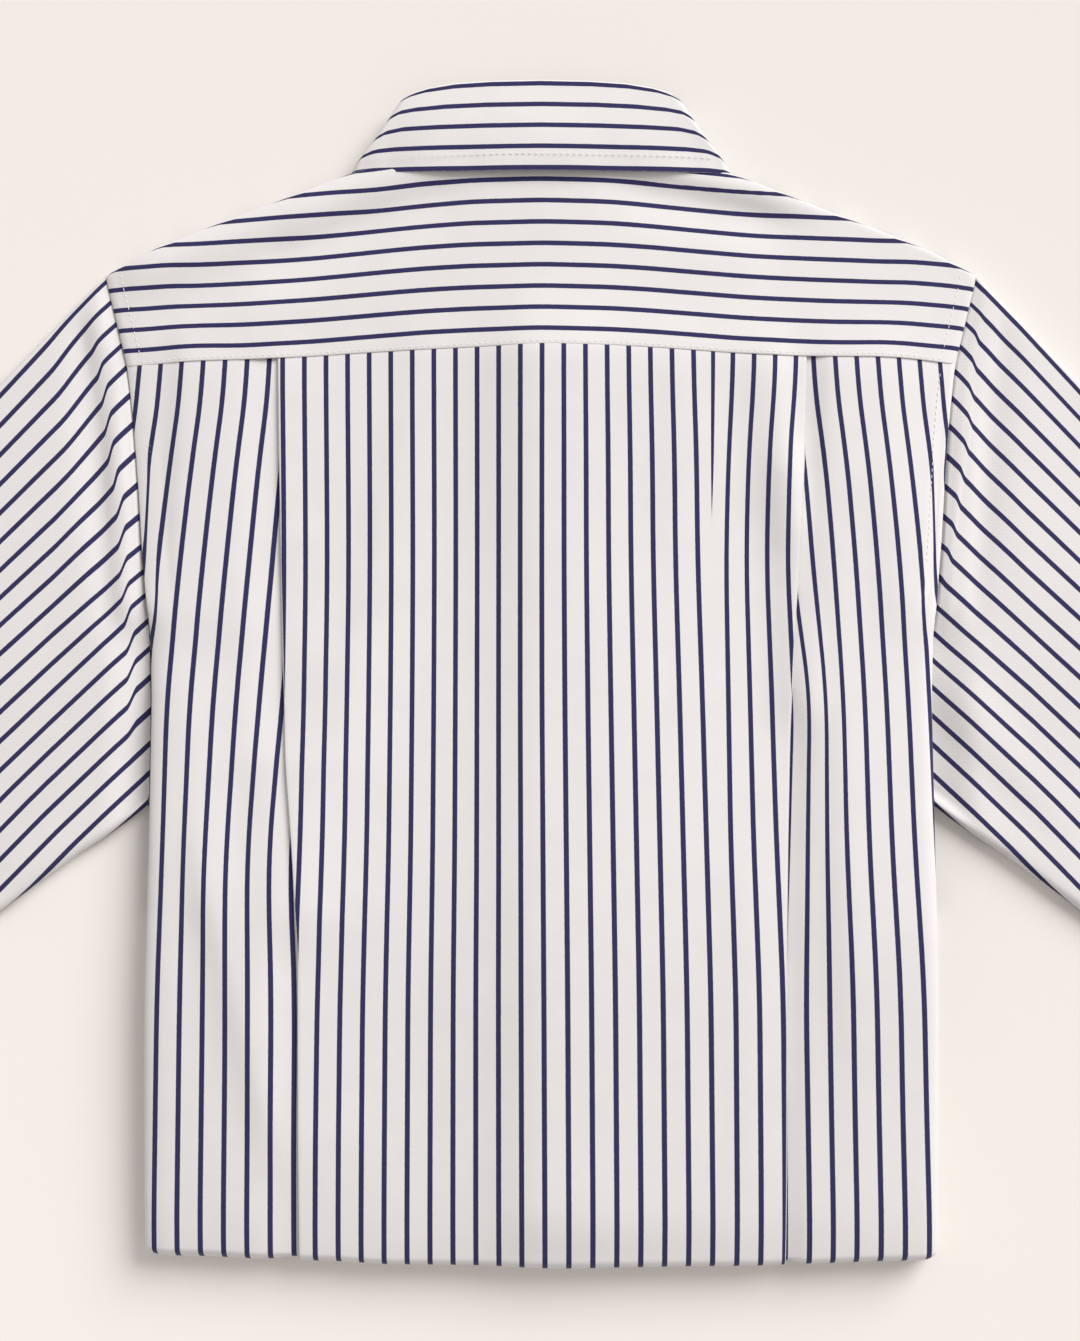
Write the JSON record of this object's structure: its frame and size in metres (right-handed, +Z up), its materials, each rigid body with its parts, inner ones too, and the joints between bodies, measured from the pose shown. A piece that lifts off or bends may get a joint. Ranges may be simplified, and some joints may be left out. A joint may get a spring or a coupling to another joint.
{
  "type": "folded shirt",
  "caption": "Long-sleeved striped cotton shirt laid face down, its tail turned under across the bottom and its sleeves spread out and down.",
  "frame": {"origin": "on the surface that the shirt lies on, under the middle of its outline", "axes": "+X across the shirt towards the right sleeve as seen from above, +Y from the bottom fold to the collar, +Z up from the surface"},
  "size_m": [1.345, 0.6492, 0.023],
  "materials": {
    "shirting": "white oxford cotton with narrow navy stripes, matt",
    "button": "pearly, half gloss"
  },
  "bodies": {
    "root": {"back": "shirting", "yoke": "shirting", "collar_fall": "shirting", "collar_stand": "shirting", "folded_layers": "shirting", "sleeve_left": "shirting", "cuff_left": "shirting", "placket_left": "shirting", "cuff_button_left": "button", "sleeve_right": "shirting", "cuff_right": "shirting", "placket_right": "shirting", "cuff_button_right": "button"}
  },
  "joints": []
}
